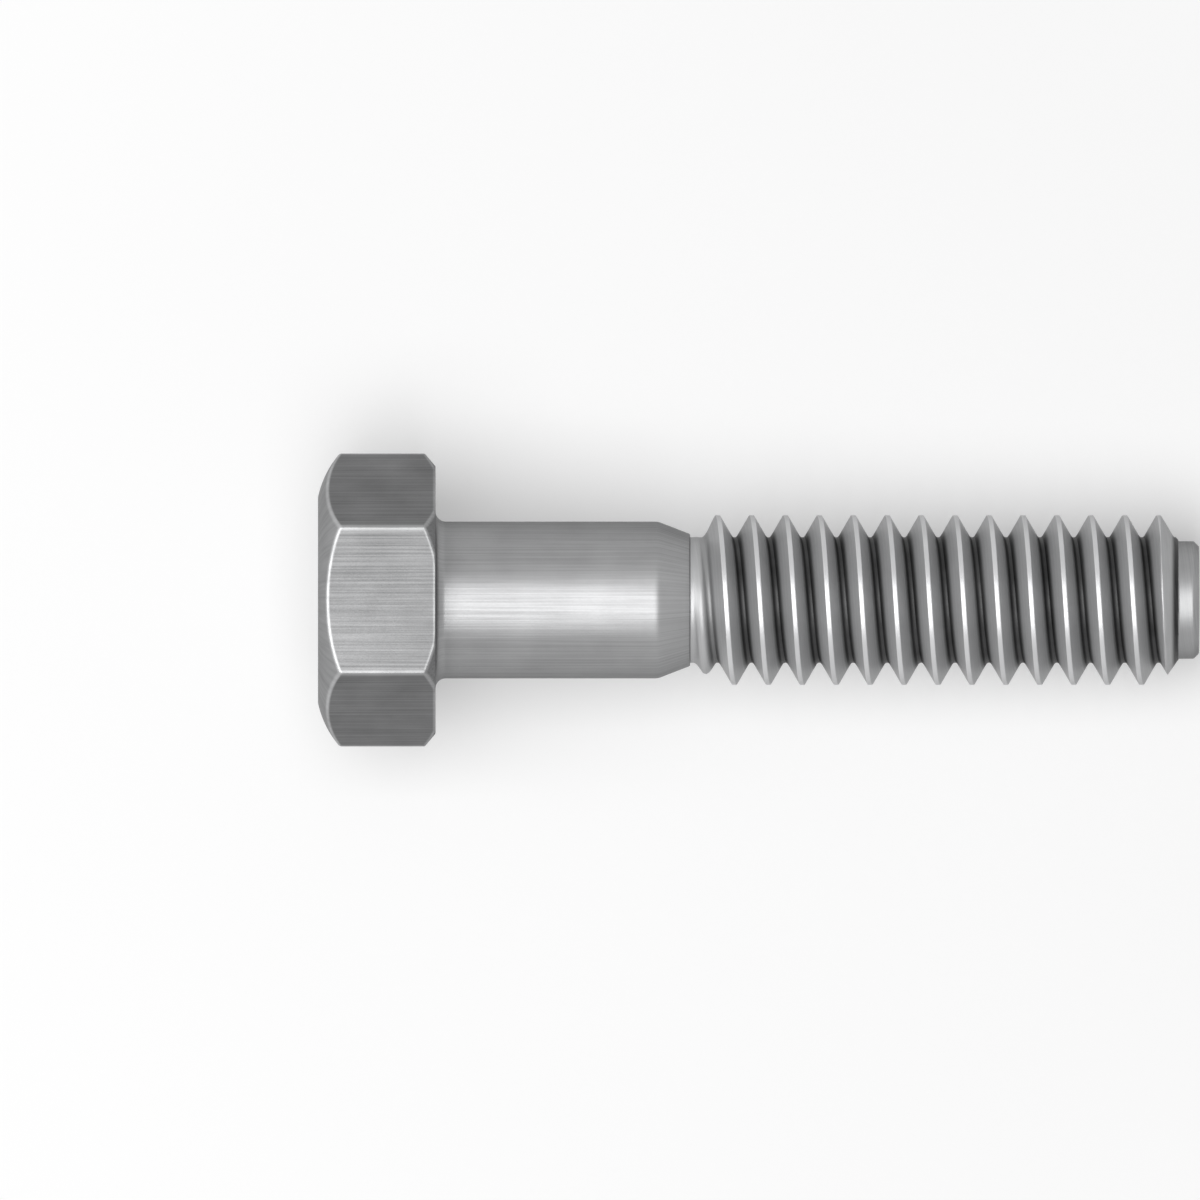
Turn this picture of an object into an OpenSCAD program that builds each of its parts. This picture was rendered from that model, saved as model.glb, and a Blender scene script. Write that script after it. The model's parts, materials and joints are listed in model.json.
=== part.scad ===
// Hex head cap screw, inch coarse thread, right hand, lying on one flat of its head.
// Millimetres. X runs from the head to the tip, Z is up, and the origin is the
// centre of the bearing face under the head. The whole screw is one solid.

/* [Thread] */
// Outside diameter of the thread, over the crests
thread_d = 6.35; // [6:0.05:8]
// Distance from one crest to the next along the axis
pitch = 1.27; // [1.15:0.01:1.6]
// Length from the end of the body to the end of the screw
thread_len = 19.05; // [10:0.05:28]
// Included angle between the two flanks of the thread
flank_angle = 60; // [55:1:65]
// Width of the flat crest, as a share of the pitch
crest_share = 0.125; // [0.1:0.005:0.16]
// Width of the flat root, as a share of the pitch
root_share = 0.125; // [0.1:0.005:0.2]
// Length over which the ridge grows to its full height beside the body
runout_len = 0.8; // [0.6:0.05:2]
// Facets in one turn of the helix
turn_steps = 48; // [36:4:60]

/* [Body] */
// Length from the bearing face to the end of the taper
grip_len = 9.525; // [5:0.025:40]
// How much smaller the plain body is than the thread, on diameter
body_under = 0.48; // [0:0.02:0.7]
// Length of the taper from the body down to the thread
taper_len = 1.2; // [0.8:0.05:2]
// Height of the shoulder where the taper ends above the thread root
neck_step = 0.12; // [0.08:0.01:0.2]
// Radius of the fillet between the body and the bearing face
fillet_r = 0.38; // [0.2:0.02:0.6]

/* [Head] */
// Width across flats
across_flats = 9.525; // [9:0.025:11.2]
// Height of the head
head_h = 4.4; // [3.4:0.05:6]
// Diameter of the flat top, as a share of the width across flats
top_share = 0.81; // [0.76:0.01:0.88]
// Radius of the rounded shoulder of the head, as a share of the width across flats
crown_share = 0.38; // [0.34:0.01:0.6]
// Slope at which the shoulder leaves the flat top
crown_start = 12; // [6:1:16]
// Diameter over the trimmed corners of the bearing face, as a share of the width
// across flats
bearing_share = 1.05; // [1.02:0.01:1.1]
// Slope of the chamfer that trims the corners on the bearing side
bearing_slope = 40; // [25:1:50]

/* [Strength marks] */
// Number of radial marks sunk in the top of the head
marks = 3; // [3:3:6]
// Length of each mark
mark_len = 1.55; // [0.8:0.05:2]
// Width of each mark
mark_w = 0.25; // [0.15:0.01:0.5]
// Depth of each mark
mark_depth = 0.15; // [0.06:0.01:0.3]
// Land between the outer end of a mark and the edge of the flat top
mark_land = 0.1; // [0.06:0.01:0.4]

/* [Point] */
// Length of the plain end beyond the thread
stub_len = 0.75; // [0.5:0.05:1.2]
// How much smaller the plain end is than the thread root, on radius
stub_step = 0.15; // [0.1:0.01:0.3]
// Angle between the axis and the cone that trims the last turn of the thread
point_angle = 55; // [40:1:60]
// Chamfer on the very end
end_chamfer = 0.2; // [0.1:0.01:0.3]

/* [Hidden] */

steel = [0.66, 0.67, 0.69];

screw_len = grip_len + thread_len;
thread_r = thread_d / 2;
body_r = thread_r - body_under / 2;
flank_len = pitch * (1 - crest_share - root_share) / 2;
root_r = thread_r - flank_len / tan(flank_angle / 2);
neck_r = root_r + neck_step;
stub_r = root_r - stub_step;

// The head: the flat top, the arc of its shoulder and the bearing face
flat_r = across_flats / 2;
corner_r = flat_r / cos(30);
outer_r = 1.04 * corner_r;
top_r = top_share * flat_r;
bearing_r = bearing_share * flat_r;
crown_r = crown_share * across_flats;
crown_x = top_r - crown_r * sin(crown_start);
crown_z = crown_r * cos(crown_start) - head_h;
crown_end = asin((outer_r - crown_x) / crown_r);
rim_z = crown_z - crown_r * cos(crown_end);
trim = tan(bearing_slope);

// The point: where the cone meets the crests, and where it meets the plain end
stub_z = screw_len - stub_len;
cone_z = stub_z - (thread_r - stub_r) / tan(point_angle);

// The helix. At angle 0, which is the underside, a crest is centred on crest_z, so
// that a quarter turn on it runs up to the cone. It starts a whole number of turns
// back, more than one turn inside the body, and ends past the end of the screw.
crest_w = crest_share * pitch;
crest_z = cone_z - pitch / 4 - crest_w / 2;
turns_back = floor((crest_z - crest_w / 2 - grip_len) / pitch) + 2;
helix_z = crest_z - crest_w / 2 - turns_back * pitch;
turns = ceil((screw_len - helix_z) / pitch);
rows = turns * turn_steps;
lap = 0.1;

// Places along one pitch where the section of the ridge turns, with their radii
section_z = [0, crest_w, crest_w + flank_len, pitch - flank_len];
section_r = [thread_r, thread_r, root_r, root_r];
corners = len(section_z);

// Resting tilt: the lower flat touches along its edge at the bearing face, and the
// thread touches at the last full crest on the underside.
touch_z = crest_z + crest_w / 2;
rest_tilt = atan((flat_r - thread_r) / touch_z);

// Share of the ridge's full height at a place along the axis
function growth(z) =
    let (t = min(1, max(0, (z - grip_len - lap) / runout_len)))
    z >= screw_len ? 0 : t * t * (3 - 2 * t);

// A point of the ridge at row i and section corner j
function ridge_point(i, j) =
    let (
        z = helix_z + pitch * i / turn_steps + section_z[j],
        r = root_r + (section_r[j] - root_r) * growth(z),
        a = 360 * (i % turn_steps) / turn_steps
    )
    [r * cos(a), r * sin(a), z];

// A ring of the threaded rod's flat ends
function end_ring(z) = [
    for (k = [0:turn_steps - 1])
        let (a = 360 * k / turn_steps)
        [root_r * cos(a), root_r * sin(a), z]
];

// Number of a point. The last turn above the rows has only its first corner, and the
// place after a row's last corner is the first corner of the row one turn on.
function at(i, j) =
    j == corners ? at(i + turn_steps, 0)
    : i <= rows ? i * corners + j
    : (rows + 1) * corners + i - rows - 1;

// A solid rod with the thread on it, one closed surface. Rows of points follow the
// helix, and each pair of rows is joined all along one pitch. A strip joins the
// first and last turn to flat ends. Both lie where the ridge has no height.
module threaded_rod() {
    bottom = (rows + 1) * corners + turn_steps;
    top = bottom + turn_steps;
    last = turn_steps - 1;
    points = concat(
        [for (i = [0:rows], j = [0:corners - 1]) ridge_point(i, j)],
        [for (i = [rows + 1:rows + turn_steps]) ridge_point(i, 0)],
        end_ring(helix_z - lap),
        end_ring(helix_z + (turns + 1) * pitch + lap)
    );
    thread_faces = [
        for (i = [0:rows - 1], j = [0:corners - 1], half = [0, 1])
            half == 0
            ? [at(i, j), at(i, j + 1), at(i + 1, j + 1)]
            : [at(i, j), at(i + 1, j + 1), at(i + 1, j)]
    ];
    bottom_faces = [
        for (k = [0:last - 1], half = [0, 1])
            half == 0
            ? [bottom + k, at(k, 0), at(k + 1, 0)]
            : [bottom + k, at(k + 1, 0), bottom + k + 1]
    ];
    bottom_seam = [
        [bottom + last, at(last, 0), at(last + 1, 0)],
        for (j = [corners:-1:1]) [bottom + last, at(0, j), at(0, j - 1)],
        [bottom + last, at(0, 0), bottom]
    ];
    top_faces = [
        for (k = [1:last], half = [0, 1])
            let (next = (k + 1) % turn_steps)
            half == 0
            ? [at(rows + k, 0), top + k, top + next]
            : [at(rows + k, 0), top + next, at(rows + k + 1, 0)]
    ];
    top_seam = [
        [top + 1, at(rows + 1, 0), at(rows, 0)],
        for (j = [0:corners - 1]) [top + 1, at(rows, j), at(rows, j + 1)],
        [top + 1, at(rows, corners), top]
    ];
    polyhedron(
        points = points,
        faces = concat(
            thread_faces,
            bottom_faces,
            bottom_seam,
            top_faces,
            top_seam,
            [[for (k = [0:last]) bottom + k]],
            [[for (k = [last:-1:0]) top + k]]
        ),
        convexity = 10
    );
}

// Everything within the cone of the point, the plain end and its chamfer
module point_envelope() {
    wide = 1.2 * thread_r;
    rotate_extrude($fn = 96)
        polygon([
            [0, helix_z - pitch],
            [wide, helix_z - pitch],
            [wide, cone_z - (wide - thread_r) / tan(point_angle)],
            [stub_r, stub_z],
            [stub_r, screw_len - end_chamfer],
            [stub_r - end_chamfer, screw_len],
            [0, screw_len]
        ]);
}

// Plain body with its taper, from inside the head to the shoulder at the thread,
// and the fillet that carries it into the bearing face
module body() {
    rotate_extrude($fn = 96)
        polygon([
            [0, -head_h / 2],
            [body_r, -head_h / 2],
            [body_r, grip_len - taper_len],
            [neck_r, grip_len],
            [0, grip_len]
        ]);
    rotate_extrude($fn = 96)
        difference() {
            translate([body_r - lap, -lap])
                square([fillet_r + lap, fillet_r + lap]);
            translate([body_r + fillet_r, fillet_r])
                circle(r = fillet_r, $fn = 48);
        }
}

// Half section of the turned head: flat top, rounded shoulder and bearing chamfer
module head_section() {
    polygon([
        [0, -head_h],
        [top_r, -head_h],
        [outer_r, rim_z],
        [outer_r, -(outer_r - bearing_r) * trim],
        [bearing_r, 0],
        [0, 0]
    ]);
    intersection() {
        translate([crown_x, crown_z])
            circle(r = crown_r, $fn = 180);
        translate([top_r, -head_h])
            square([outer_r - top_r, rim_z + head_h]);
    }
}

// Radial marks sunk in the top, each pointing at a corner of the head
module strength_marks() {
    for (k = [0:marks - 1])
        rotate([0, 0, 90 + 360 * k / marks])
            translate([top_r - mark_land - mark_len, -mark_w / 2, -head_h - 1])
                cube([mark_len, mark_w, 1 + mark_depth]);
}

// Hexagonal head with two corners level, left and right of the way up
module head() {
    difference() {
        intersection() {
            rotate([0, 0, 30])
                translate([0, 0, -head_h])
                    cylinder(r = corner_r, h = head_h, $fn = 6);
            rotate_extrude($fn = 180)
                head_section();
        }
        strength_marks();
    }
}

module cap_screw() {
    color(steel)
        rotate([0, 90 + rest_tilt, 0]) {
            head();
            body();
            intersection() {
                threaded_rod();
                point_envelope();
            }
        }
}

cap_screw();
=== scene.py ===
"""Looks of the hex head cap screw: one forged and rolled piece of bright steel, lying
on one flat of its head and on the thread near its tip."""

import json
import math

import bpy
import numpy as np
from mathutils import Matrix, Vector


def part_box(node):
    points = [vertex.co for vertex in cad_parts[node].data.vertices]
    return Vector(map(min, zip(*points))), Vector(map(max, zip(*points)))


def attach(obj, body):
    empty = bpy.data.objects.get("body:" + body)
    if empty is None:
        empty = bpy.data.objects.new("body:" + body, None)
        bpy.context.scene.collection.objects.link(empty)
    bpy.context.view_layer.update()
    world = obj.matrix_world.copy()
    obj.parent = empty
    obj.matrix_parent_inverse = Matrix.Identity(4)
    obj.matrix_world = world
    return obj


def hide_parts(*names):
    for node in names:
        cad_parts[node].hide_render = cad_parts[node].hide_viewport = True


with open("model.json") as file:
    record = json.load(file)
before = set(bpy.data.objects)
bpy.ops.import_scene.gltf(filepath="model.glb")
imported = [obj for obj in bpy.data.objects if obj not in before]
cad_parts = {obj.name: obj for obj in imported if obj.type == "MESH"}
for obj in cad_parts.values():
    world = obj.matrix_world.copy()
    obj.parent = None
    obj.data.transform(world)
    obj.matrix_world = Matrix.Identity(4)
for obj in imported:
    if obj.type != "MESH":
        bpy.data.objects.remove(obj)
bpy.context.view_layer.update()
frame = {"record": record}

MM = 0.001

# Sizes of the screw in millimetres, as the solid has them. An axial place is counted
# from the bearing face, positive towards the tip.
PITCH = 1.27
THREAD_R = 3.175
CREST_W = 0.125 * PITCH
FLANK_W = 0.375 * PITCH
FLANK_SLOPE = math.tan(math.radians(30))
ROOT_R = THREAD_R - FLANK_W / FLANK_SLOPE
RUNOUT_GAP, RUNOUT = 0.1, 0.8
BODY_R = 2.935
GRIP = 9.525
TAPER = 1.2
NECK_R = ROOT_R + 0.12
FILLET = 0.38
FLAT_R = 4.7625
CORNER_R = FLAT_R / math.cos(math.radians(30))
HEAD_H = 4.4
TOP_R = 0.81 * FLAT_R
CROWN_R = 0.76 * FLAT_R
CROWN_X = TOP_R - CROWN_R * math.sin(math.radians(12))
CROWN_Z = CROWN_R * math.cos(math.radians(12)) - HEAD_H
BEARING_R = 1.05 * FLAT_R
TRIM = math.radians(40)
END = GRIP + 19.05
STUB_R = ROOT_R - 0.15
STUB_Z = END - 0.75
CONE = math.tan(math.radians(55))
CREST_Z = STUB_Z - (THREAD_R - STUB_R) / CONE - PITCH / 4 - CREST_W / 2
END_CHAMFER = 0.2

# Strength marks: inner and outer end, width in plan of their end walls, depth, and the
# angles they lie at. Half a mark's width, 0.125, is 1.86 degrees at the top's edge.
# Lines within the smaller of the next two angles are on its floor, and those within
# the larger run parallel to it, from the radius after them outwards.
MARK_IN, MARK_OUT, MARK_END, MARK_DEPTH = TOP_R - 1.65, TOP_R - 0.1, 0.018, 0.15
MARK_TURNS = (0, 120, 240)
MARK_FLOOR, MARK_BESIDE, MARK_REACH = 1.7, 2.3, 1.8

# Radius of the rounding of the head's corners, the half angle that it takes up, and the
# length of each half of the rounding where the crown meets a flat
CORNER_SOFT, CORNER_TURN = 0.12, math.radians(0.631)
BRINK_SOFT = 0.07

# Where the thread's rows take over from the body's rings, and how near to an end ring
# a row's point becomes that ring's own point
THREAD_START = GRIP + 0.03
JOIN = 0.006

# The axis points this far below level, from the head to the tip
axis = next(m for m in frame["record"]["mounts"] if m["name"] == "bearing_face")["axis"]
TILT = math.atan2(-axis[2], axis[0])

# What the lamps are turned to, and the middle of the floor's shadow
MIDDLE = Vector((0.012, 0, 0))

WHITE = (1, 1, 1, 1)


def place(along, radius, turn):
    """Points in metres of an axial place, a distance from the axis and an angle in
    radians, which is 0 at +Y and a quarter turn at the top. Along and up are turned
    about Y by the tilt."""
    side, up = radius * np.cos(turn), radius * np.sin(turn)
    x = along * math.cos(TILT) + up * math.sin(TILT)
    z = up * math.cos(TILT) - along * math.sin(TILT)
    return np.stack(np.broadcast_arrays(x, side, z), -1) * MM


def lines_around():
    """Angles in degrees of the lines that run along the screw. They are close
    together at the six corners of the head, where the corner is rounded and where the
    walls of the marks lie, and five degrees apart between them."""
    half = np.array([0, 0.3, 0.63, 1.2, 1.6, 1.86, 2.2, 5, 10, 15, 20, 25, 30])
    sector = np.concatenate([half, 60 - half[-2:0:-1]])
    return (np.arange(6)[:, None] * 60 + sector).ravel()


def hexagon(degrees):
    """Distance from the axis to the hexagon: the flat's distance over the cosine of
    the angle from the middle of the flat. Next to a corner it is a small circle that
    touches both flats."""
    off = (degrees + 30) % 60 - 30
    flat = FLAT_R / np.cos(np.radians(30 - np.abs(off)))
    centre = CORNER_R - CORNER_SOFT / math.sin(math.radians(60))
    off = np.radians(off)
    inside = np.clip(CORNER_SOFT**2 - (centre * np.sin(off)) ** 2, 0, None)
    rounded = centre * np.cos(off) + np.sqrt(inside)
    return np.where(np.abs(off) < CORNER_TURN, rounded, flat)


def crown(radius):
    """Axial place of the rounded shoulder of the head: an arc in the half section."""
    return CROWN_Z - np.sqrt(CROWN_R**2 - (radius - CROWN_X) ** 2)


def knee(before, corner, after, steps):
    """Rows of a quadratic curve that leaves the line to a corner at one point and
    joins the line from it at another. Each point is a radius and an axial place."""
    rows = []
    for t in np.linspace(0, 1, steps + 1):
        w = ((1 - t) ** 2, 2 * t * (1 - t), t * t)
        coordinates = zip(before, corner, after)
        rows.append([w[0] * p + w[1] * q + w[2] * s for p, q, s in coordinates])
    return rows


def level(radii, along):
    """Rows at several radii and one axial place."""
    return [[r, along] for r in radii]


def straight(start, end, shares):
    """Rows at shares of the way along a straight line of the half section."""
    return [[p + (q - p) * s for p, q in zip(start, end)] for s in shares]


def top_rows(wall, brink):
    """Rows of the flat top, close together at the ends of the marks, and of the
    rounded shoulder, up to where it meets the flats."""
    edge = 0.05
    radii = [0.5, 1.0, 1.5, 1.9, 2.05, 2.15, MARK_IN, MARK_IN + MARK_END, 2.27, 2.6]
    radii += [3.0, 3.4, 3.7, MARK_OUT - MARK_END, MARK_OUT, 3.775]
    start = TOP_R + edge
    rows = level(radii, -HEAD_H)
    rows += knee((TOP_R - edge, -HEAD_H), (TOP_R, -HEAD_H), (start, crown(start)), 3)
    shares = [0.08, 0.2, 0.32, 0.44, 0.56, 0.68, 0.8, 0.92]
    inner = wall - BRINK_SOFT
    shoulder = [start + (inner - start) * s for s in shares]
    rows += [[r, crown(r)] for r in shoulder]
    outer = brink + BRINK_SOFT
    return rows + knee((inner, crown(inner)), (wall, brink), (wall, outer), 4)


def side_rows(wall, brink):
    """Rows of the flats, of the chamfer that trims their corners, of the bearing face
    and of the fillet, which is a quarter circle."""
    foot = np.minimum(wall - 0.03, BEARING_R)
    trimmed = (wall - foot) * math.tan(TRIM)
    e = np.minimum(0.04, 0.35 * (wall - foot))
    across, down = e * math.cos(TRIM), e * math.sin(TRIM)
    upper, lower = (wall, brink + 2 * BRINK_SOFT), (wall, -trimmed - 3 * e)
    chamfer = (wall - across, down - trimmed)
    rows = straight(upper, lower, [0, 0.25, 0.5, 0.75, 1])
    rows += knee((wall, -trimmed - e), (wall, -trimmed), chamfer, 3)
    rows += knee((foot + across, -down), (foot, 0), (foot - e, 0), 3)
    edge = BODY_R + FILLET
    rows += straight((foot - 2.5 * e, 0), (edge + 0.06, 0), [0, 0.3, 0.6, 1])
    bend = np.radians(np.linspace(0, 90, 11))
    return rows + [
        [edge - FILLET * math.sin(b), FILLET * (1 - math.cos(b))] for b in bend
    ]


def body_rows():
    """Rows of the plain body, its taper and the shoulder at the thread."""
    taper_start, soft, small = GRIP - TAPER, 0.12, 0.05
    slant = math.hypot(NECK_R - BODY_R, TAPER)
    slope, run = (NECK_R - BODY_R) / slant, TAPER / slant
    far = (BODY_R, taper_start - 0.25)
    turned = (BODY_R + soft * slope, taper_start + soft * run)
    last = (NECK_R - small * slope, GRIP - small * run)
    rows = straight((BODY_R, FILLET + 0.1), far, np.linspace(0, 1, 9))
    rows += knee((BODY_R, taper_start - soft), (BODY_R, taper_start), turned, 4)
    rows += straight(turned, last, [0.15, 0.5, 0.9])
    rows += knee(last, (NECK_R, GRIP), (NECK_R - 0.04, GRIP), 3)
    return rows + knee((ROOT_R + 0.03, GRIP), (ROOT_R, GRIP), (ROOT_R, THREAD_START), 3)


def head_and_body(degrees):
    """Radius, axial place and angle of the rings from the top of the head to the
    shoulder at the thread. The half section turns about the axis, cut by the
    hexagon, and every edge is a small knee."""
    wall = hexagon(degrees)
    brink = crown(wall)
    rows = top_rows(wall, brink) + side_rows(wall, brink) + body_rows()
    radius = np.array([np.broadcast_to(r, degrees.shape) for r, a in rows], float)
    along = np.array([np.broadcast_to(a, degrees.shape) for r, a in rows], float)
    return strength_marks(radius, along, degrees)


def strength_marks(radius, along, degrees):
    """Sinks the radial marks in the flat top. Beside a mark the lines are moved so
    that they run parallel to it: the angle from its middle is the one whose sine is
    the line's distance from the middle over the radius."""
    turn = np.radians(np.broadcast_to(degrees, radius.shape)).copy()
    for mark in MARK_TURNS:
        off = (degrees - mark + 180) % 360 - 180
        near = (np.abs(off) < MARK_BESIDE)[None, :] & (along < 0)
        near &= (radius > MARK_REACH) & (radius < TOP_R)
        aside = TOP_R * np.sin(np.radians(off))[None, :]
        parallel = np.arcsin(aside / np.maximum(radius, MARK_REACH))
        turn = np.where(near, math.radians(mark) + parallel, turn)
        sunk = near & (np.abs(off) < MARK_FLOOR)[None, :]
        sunk &= (radius > MARK_IN + 0.01) & (radius < MARK_OUT - 0.01)
        along = np.where(sunk, along + MARK_DEPTH, along)
    return radius, along, turn


def soft_min(p, q, k):
    """The smaller of two values, rounded off where they are within k of each other."""
    near = np.clip(k - np.abs(p - q), 0, None) / k
    return np.minimum(p, q) - near**2 * k / 4


def ridge_radius(along, across):
    """Distance from the axis at an axial place and a distance across the ridge. The
    ridge is a flat crest between two 60 degree flanks with a rounded root. Its height
    grows smoothly beside the body, and the cone of the point trims it near the tip."""
    flank = THREAD_R - (np.abs(across) - CREST_W / 2) / FLANK_SLOPE
    ridge = -soft_min(-soft_min(flank, THREAD_R, 0.02), -ROOT_R, 0.1)
    t = np.clip((along - GRIP - RUNOUT_GAP) / RUNOUT, 0, 1)
    radius = ROOT_R + (ridge - ROOT_R) * t * t * (3 - 2 * t)
    return soft_min(radius, STUB_R + (STUB_Z - along) * CONE, 0.03)


def thread(degrees):
    """Axial place and radius of the rows that follow the helix, and the number of rows
    in one pitch. Rows lie at fixed distances across the ridge and rise by one pitch a
    turn, so each crest and root is a row of its own. The rows on the flank that faces
    the head are closer together, because the cone of the point cuts it slantwise."""
    tip_side = [0, 0.045, 0.066, 0.079, 0.093, 0.11, 0.21, 0.31, 0.4, 0.4765, 0.5165]
    tip_side += [0.5556, 0.595, 0.635]
    head_side = [0.595, 0.5556, 0.5165, 0.4765, 0.44, 0.4, 0.36, 0.32, 0.28, 0.24, 0.2]
    head_side += [0.155, 0.11, 0.093, 0.079, 0.066, 0.045]
    knots = np.concatenate([tip_side, PITCH - np.array(head_side)])
    first = math.floor((THREAD_START - CREST_Z) / PITCH) - 1
    last = math.ceil((STUB_Z - CREST_Z) / PITCH) + 2
    rise = (np.arange(first, last)[:, None] * PITCH + knots).ravel()
    across = np.tile((knots + PITCH / 2) % PITCH - PITCH / 2, last - first)
    along = CREST_Z + rise[:, None] + PITCH * (degrees[None, :] - 270) / 360
    return along, ridge_radius(along, across[:, None]), len(knots)


def end_rings():
    """Radius and axial place of the rings of the plain end and its chamfer."""
    soft = 0.04
    near, far = END - END_CHAMFER, STUB_R - END_CHAMFER
    slant = soft * math.sqrt(0.5)
    rows = straight((STUB_R, STUB_Z), (STUB_R, near - 2 * soft), [0, 0.06, 0.5, 1])
    turned = (STUB_R - slant, near + slant)
    rows += knee((STUB_R, near - soft), (STUB_R, near), turned, 3)
    rows += knee((far + slant, END - slant), (far, END), (far - soft, END), 3)
    rows += level([far - 0.1, 1.5, 1.0, 0.5], END)
    return np.array(rows)


def grid_faces(index):
    """Triangles between neighbouring rows and lines of a grid of point numbers. Those
    with a point twice have no area and are left out."""
    a, b = index[:-1, :-1], index[:-1, 1:]
    c, d = index[1:, 1:], index[1:, :-1]
    faces = np.concatenate([np.stack([a, b, c], -1), np.stack([a, c, d], -1)])
    faces = faces.reshape(-1, 3)
    p, q, s = faces.T
    return faces[(p != q) & (q != s) & (s != p)]


def closed(index):
    """The grid with its first line again after its last."""
    return np.concatenate([index, index[:, :1]], 1)


def make_mesh(name, points, faces):
    """A smooth shaded mesh object at the origin from points and triangles."""
    mesh = bpy.data.meshes.new(name)
    mesh.vertices.add(len(points))
    mesh.vertices.foreach_set("co", points.astype(np.float32).ravel())
    mesh.loops.add(faces.size)
    mesh.loops.foreach_set("vertex_index", faces.astype(np.int32).ravel())
    mesh.polygons.add(len(faces))
    mesh.polygons.foreach_set("loop_start", np.arange(0, faces.size, 3, dtype=np.int32))
    mesh.polygons.foreach_set("use_smooth", np.ones(len(faces), bool))
    mesh.update(calc_edges=True)
    mesh.validate()
    made = bpy.data.objects.new(name, mesh)
    bpy.context.scene.collection.objects.link(made)
    return made


def screw_surface():
    """The whole screw as one closed surface: rings of the head and body, the helical
    rows of the thread, rings of the plain end, and a point at each end of the axis.
    Places of the thread's rows before its first ring or past its last one are given
    the number of that ring's point, so the helix ends on a ring without a gap."""
    degrees = lines_around()
    turn = np.radians(degrees)
    count = len(degrees)

    radius, along, turns = head_and_body(degrees)
    rings = np.arange(along.size).reshape(along.shape)
    parts = [place(along, radius, turns).reshape(-1, 3)]
    used = along.size

    ends = end_rings()
    end_index = used + np.arange(len(ends) * count).reshape(len(ends), count)
    parts.append(place(ends[:, 1:], ends[:, :1], turn[None, :]).reshape(-1, 3))
    used += end_index.size

    along, radius, lap = thread(degrees)
    before = along < THREAD_START + JOIN
    past = along > STUB_Z - JOIN
    free = ~(before | past)
    index = np.where(before, rings[-1][None, :], end_index[0][None, :])
    index[free] = used + np.arange(free.sum())
    parts.append(place(along, radius, turn[None, :])[free])
    used += free.sum()

    parts.append(place(np.array([-HEAD_H, END]), 0, 0))
    pole, tip = used, used + 1
    thread_index = np.concatenate([index[:-lap], index[lap:, :1]], 1)
    faces = np.concatenate([
        grid_faces(closed(np.vstack([np.full(count, pole), rings]))),
        grid_faces(thread_index),
        grid_faces(closed(np.vstack([end_index, np.full(count, tip)]))),
    ])
    points = np.concatenate(parts)
    p, q, s = points[faces.T]
    if np.einsum("ij,ij->", p, np.cross(q, s)) < 0:
        faces = faces[:, ::-1]
    return points, faces


class Number:
    """A number that a material's nodes work out. Sums with it add Math nodes."""

    def __init__(self, finish, socket):
        self.finish, self.socket = finish, socket

    def math(self, operation, *others, clamp=False):
        settings = {"operation": operation, "use_clamp": clamp}
        return self.finish.node("Math", settings, (self, *others)).out(0)

    def __add__(self, other):
        return self.math("ADD", other)

    def __radd__(self, other):
        return self.math("ADD", other)

    def __sub__(self, other):
        return self.math("SUBTRACT", other)

    def __rsub__(self, other):
        settings = {"operation": "SUBTRACT"}
        return self.finish.node("Math", settings, (other, self)).out(0)

    def __mul__(self, other):
        return self.math("MULTIPLY", other)

    def __rmul__(self, other):
        return self.math("MULTIPLY", other)

    def __rtruediv__(self, other):
        settings = {"operation": "DIVIDE"}
        return self.finish.node("Math", settings, (other, self)).out(0)

    def ramp(self, low, high):
        """0 below low, 1 above high, with a smooth rise between them."""
        settings = {"interpolation_type": "SMOOTHSTEP"}
        inputs = (self, low, high, 0.0, 1.0)
        return self.finish.node("MapRange", settings, inputs).out(0)


class Made:
    """A node that was added, with its outputs as numbers."""

    def __init__(self, finish, node):
        self.finish, self.node = finish, node

    def out(self, which):
        return Number(self.finish, self.node.outputs[which])


class Finish:
    """The nodes of a material or of the world, which are added one by one."""

    def __init__(self, owner):
        owner.use_nodes = True
        self.owner, self.tree = owner, owner.node_tree
        self.tree.nodes.clear()

    def node(self, kind, settings, inputs):
        """Adds a node. Its settings come first, then its inputs, by order or name: a
        number or colour is set, and another node's output is linked."""
        node = self.tree.nodes.new("ShaderNode" + kind)
        for name, value in settings.items():
            setattr(node, name, value)
        pairs = inputs.items() if isinstance(inputs, dict) else enumerate(inputs)
        for name, value in pairs:
            if isinstance(value, Number):
                self.tree.links.new(value.socket, node.inputs[name])
            else:
                node.inputs[name].default_value = value
        return Made(self, node)

    def mix(self, share, first, second):
        """A colour between two others."""
        settings = {"data_type": "RGBA"}
        return self.node("Mix", settings, {0: share, 6: first, 7: second}).out(2)

    def vector(self, x, y, z):
        """A vector of three numbers."""
        return self.node("CombineXYZ", {}, (x, y, z)).out(0)

    def on_circle(self, turn, radius, third):
        """A place at an angle on a circle, with a third number beside it."""
        x, y = turn.math("SINE"), turn.math("COSINE")
        return self.vector(x * radius, y * radius, third)

    def split(self, vector):
        """The three numbers of a vector."""
        node = self.node("SeparateXYZ", {}, (vector,))
        return node.out(0), node.out(1), node.out(2)

    def object_place(self):
        """A place on the object, in metres."""
        return self.node("TexCoord", {}, {}).out("Object")

    def noise(self, at, scale, detail):
        """Smooth noise at a place, about 0.5 on average."""
        inputs = {"Vector": at, "Scale": scale, "Detail": detail}
        return self.node("TexNoise", {}, inputs).out(0)

    def seen(self):
        """1 for a ray from the camera and for one that metal or glass sends on, and 0
        for light that falls on a matt surface."""
        ray = self.node("LightPath", {}, {})
        seen = ray.out("Is Camera Ray").math("MAXIMUM", ray.out("Is Glossy Ray"))
        return seen.math("MAXIMUM", ray.out("Is Transmission Ray"))


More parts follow.
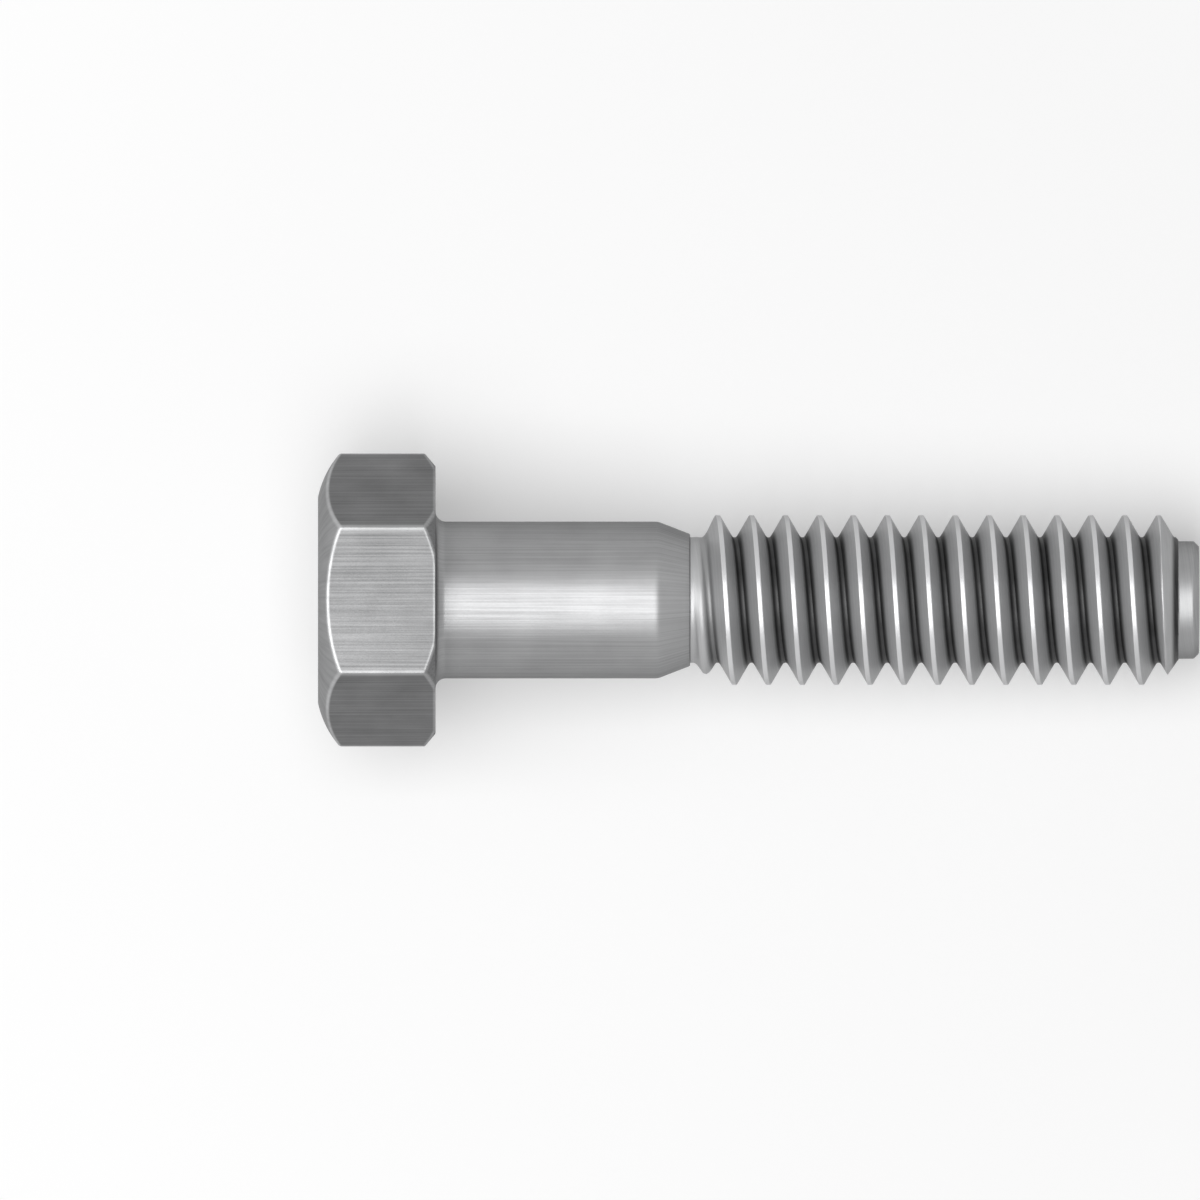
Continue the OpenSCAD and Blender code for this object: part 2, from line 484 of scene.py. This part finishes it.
def bright_steel():
    """Clean steel in its forged, drawn and rolled states. Places on the screw come
    from object coordinates, turned back by the tilt and counted in millimetres."""
    f = Finish(bpy.data.materials.new("bright_steel"))
    turned = {"Rotation": (0, -TILT, 0), "Scale": (1 / MM, 1 / MM, 1 / MM)}
    local = f.node("Mapping", {}, {"Vector": f.object_place(), **turned}).out(0)
    along, side, up = f.split(local)
    radius = (side * side + up * up).math("SQRT")
    angle = up.math("ARCTAN2", side)

    # Parts of the screw, each 1 on the part and 0 elsewhere
    head = 1 - along.ramp(-0.02, 0.02)
    disc = 1 - radius.ramp(TOP_R - 0.03, TOP_R + 0.03)
    top = disc * (1 - along.ramp(-HEAD_H + 0.2, -HEAD_H + 0.3))
    threaded = along.ramp(GRIP - 0.01, GRIP + 0.05)
    plain_end = along.ramp(STUB_Z - 0.05, STUB_Z)
    rolled = threaded * (1 - plain_end)

    # Distance from the axis to the flats, the arc of the crown, and the lower edge
    slant = side * math.sin(math.radians(60))
    upper = (up * 0.5 + slant).math("ABSOLUTE")
    lower = (up * 0.5 - slant).math("ABSOLUTE")
    flats = upper.math("MAXIMUM", lower).math("MAXIMUM", up.math("ABSOLUTE"))
    by_flat = flats.ramp(FLAT_R - 0.13, FLAT_R - 0.02)
    reach = radius - CROWN_X
    arc = CROWN_Z - (CROWN_R**2 - reach * reach).math("SQRT")
    by_arc = 1 - (along - arc).ramp(0.03, 0.13)
    trimmed = along + (radius - BEARING_R) * math.tan(TRIM)
    by_foot = trimmed.math("MAXIMUM", along).ramp(-0.13, -0.03)
    by_corner = radius.ramp(CORNER_R - 0.1, CORNER_R - 0.03)
    crest = threaded * radius.ramp(THREAD_R - 0.03, THREAD_R - 0.005)
    crown_face = head * by_arc * (1 - top)
    flat = head * (1 - top) * (1 - crown_face)

    # Fine lines: along the axis on the flats and the drawn body and down the slope of
    # its taper, round the axis on the top, outwards on the crown, and along the helix
    # on the rolled thread. Off the head they keep their angle round the axis.
    spread = 13.0 - (1 - head) * (1 - BODY_R / radius) * 13.0
    drawn = f.noise(f.vector(along * 0.14, side * spread, up * spread), 1.0, 4.0)
    rings = f.noise(f.vector(radius * 11.0, along * 3.0, 0.0), 1.0, 3.0)
    outward = f.noise(f.on_circle(angle, 26.0, radius * 0.5), 1.0, 3.0)
    winding = along * (2 * math.pi / PITCH) - angle
    helical = f.noise(f.on_circle(winding, 5.0, radius * 6.0), 1.0, 3.0)
    lines = (drawn - 0.5) * (1 - threaded) * (1 - crown_face) * (1 - top)
    lines = lines + (rings - 0.5) * top * 0.6 + (outward - 0.5) * crown_face
    lines = lines + (helical - 0.5) * threaded * 0.7

    # Broad, faint clouds of tone and fine grain all over
    clouds = f.noise(local, 0.55, 4.0)
    grain = f.noise(local, 14.0, 3.0)

    # Edges and crests get painted highlight with some rubbed wear; painted shade
    # darkens the thread's root, the sunk marks and the top's rim
    edges = by_flat * by_arc.math("MAXIMUM", by_foot)
    # Painted highlight, partly rubbed wear: the head's edges and corners and the
    # thread's crests are made lighter
    painted_highlight_and_wear = head * edges.math("MAXIMUM", by_corner) * (1 - top) + crest
    painted_highlight_and_wear = painted_highlight_and_wear * (0.5 + clouds)
    # Painted shade: the thread is darker the nearer it lies to the root, from the
    # shoulder to the plain end
    root_shade_by_depth = 1 - radius.ramp(ROOT_R + 0.04, ROOT_R + 0.3)
    root = along.ramp(GRIP, GRIP + 1.4) * root_shade_by_depth * (1 - plain_end)
    # Painted shade: the flat top is made darker towards its rim
    painted_rim_shade = top * radius.ramp(1.6, TOP_R)
    # Painted shade: the floors of the sunk strength marks are made darker
    sunk = top * along.ramp(-HEAD_H + 0.02, -HEAD_H + 0.1)

    # The plain body's tone, roughness and metal, and what each part changes in them
    tone = 0.3 - flat * 0.11 - painted_rim_shade * 0.1 + crown_face * 0.02 + rolled * 0.15
    tone = tone + (clouds - 0.5) * 0.1 + lines * 0.16 + painted_highlight_and_wear * 0.13
    tone = tone - root * 0.4 - sunk * 0.14
    tone = tone.math("ADD", 0.0, clamp=True)
    rough = 0.43 + head * 0.1 + (grain - 0.5) * 0.12 - lines * 0.14 - painted_highlight_and_wear * 0.06
    height = lines * 0.6 + (grain - 0.5) * 0.3
    relief = {"Strength": 0.4, "Distance": 0.00001, "Height": height}
    surface = f.node("BsdfPrincipled", {}, {
        "Base Color": f.mix(tone, (0, 0, 0, 1), (0.985, 0.99, 1, 1)),
        "Metallic": 1 - rolled * 0.38,
        "Roughness": rough,
        "Normal": f.node("Bump", {}, relief).out(0),
        "Specular Tint": (0.5, 0.5, 0.5, 1),
    }).out(0)
    f.node("OutputMaterial", {}, {"Surface": surface})
    return f.owner


def pale_floor():
    """Matt, nearly white board with the faintest mottling. A share of plain white is
    seen with it, which rises to the whole away from the screw and its shadow, so that
    the background is even."""
    f = Finish(bpy.data.materials.new("pale_board"))
    where = f.object_place()
    mottle = f.noise(where, 60.0, 3.0)
    colour = f.mix(mottle, (0.915, 0.915, 0.915, 1), (0.925, 0.925, 0.925, 1))
    board = {"Base Color": colour, "Roughness": 0.9}
    board = f.node("BsdfPrincipled", {}, board).out(0)
    along, side, _ = f.split(where)
    along = along - MIDDLE.x
    away = (along * along + side * side).math("SQRT").ramp(0.02, 0.052)
    share = f.seen() * (0.3 + away * 0.7)
    white = f.node("Emission", {}, {"Color": WHITE, "Strength": 1.0}).out(0)
    surface = f.node("MixShader", {}, (share, board, white)).out(0)
    f.node("OutputMaterial", {}, {"Surface": surface})
    return f.owner


def white_world(strength):
    """The studio's white walls, which are seen as plain white and give soft light of
    this strength from all round."""
    f = Finish(bpy.data.worlds.new("studio"))
    glow = f.seen() * (1 - strength) + strength
    light = f.node("Background", {}, {"Color": WHITE, "Strength": glow}).out(0)
    f.node("OutputWorld", {}, {"Surface": light})
    return f.owner


def softbox(name, size, stands_at, radiance):
    """A rectangular area lamp turned to the screw, its second side level across the
    screw's axis. Its power is what gives that brightness seen from the front: pi
    times area times brightness."""
    lamp = bpy.data.lights.new(name, "AREA")
    lamp.shape, lamp.size, lamp.size_y = "RECTANGLE", size[0], size[1]
    lamp.energy = radiance * math.pi * size[0] * size[1]
    made = bpy.data.objects.new(name, lamp)
    made.location = stands_at
    off = Vector(stands_at) - MIDDLE
    made.rotation_euler = (-math.asin(off.y / off.length), math.atan2(off.x, off.z), 0)
    made.visible_camera = False
    bpy.context.scene.collection.objects.link(made)


points, faces = screw_surface()
screw = make_mesh("cap_screw_body", points, faces)
screw.data.materials.append(bright_steel())
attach(screw, "root")
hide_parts("cap_screw")

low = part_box("cap_screw")[0][2]
half = 0.6
corners = [(-half, -half), (half, -half), (half, half), (-half, half)]
corners = np.array([(x, y, low) for x, y in corners])
floor = make_mesh("floor", corners, np.array([[0, 1, 2], [0, 2, 3]]))
floor.data.materials.append(pale_floor())

# A soft light overhead, a little to the near side, and one from the head's side that
# falls on the flanks of the thread that face the head
softbox("overhead", (0.2, 0.3), (-0.02, -0.035, 0.27), 3.15)
softbox("head_side", (0.17, 0.17), (-0.2, 0, 0.2), 2.5)

bpy.context.scene.world = white_world(0.25)

# The camera looks down on the screw square to its axis, with the tip to the right.
# The head's top is 318 and the tip 1199 pixels from the left of 1200.
FRAME, HEAD_AT, TIP_AT = 1200, 318, 1199
scale = (TIP_AT - HEAD_AT) / (END + HEAD_H)
middle = (FRAME / 2 - HEAD_AT) / scale - HEAD_H
camera_data = bpy.data.cameras.new("camera")
camera_data.type = "ORTHO"
camera_data.ortho_scale = FRAME * MM / scale
camera_data.clip_start, camera_data.clip_end = 0.01, 5
camera = bpy.data.objects.new("camera", camera_data)
camera.location = place(np.array([middle]), 250.0, math.pi / 2)[0]
camera.rotation_euler = (0, TILT, 0)
bpy.context.scene.collection.objects.link(camera)
bpy.context.scene.camera = camera
bpy.context.scene.view_settings.view_transform = "Standard"
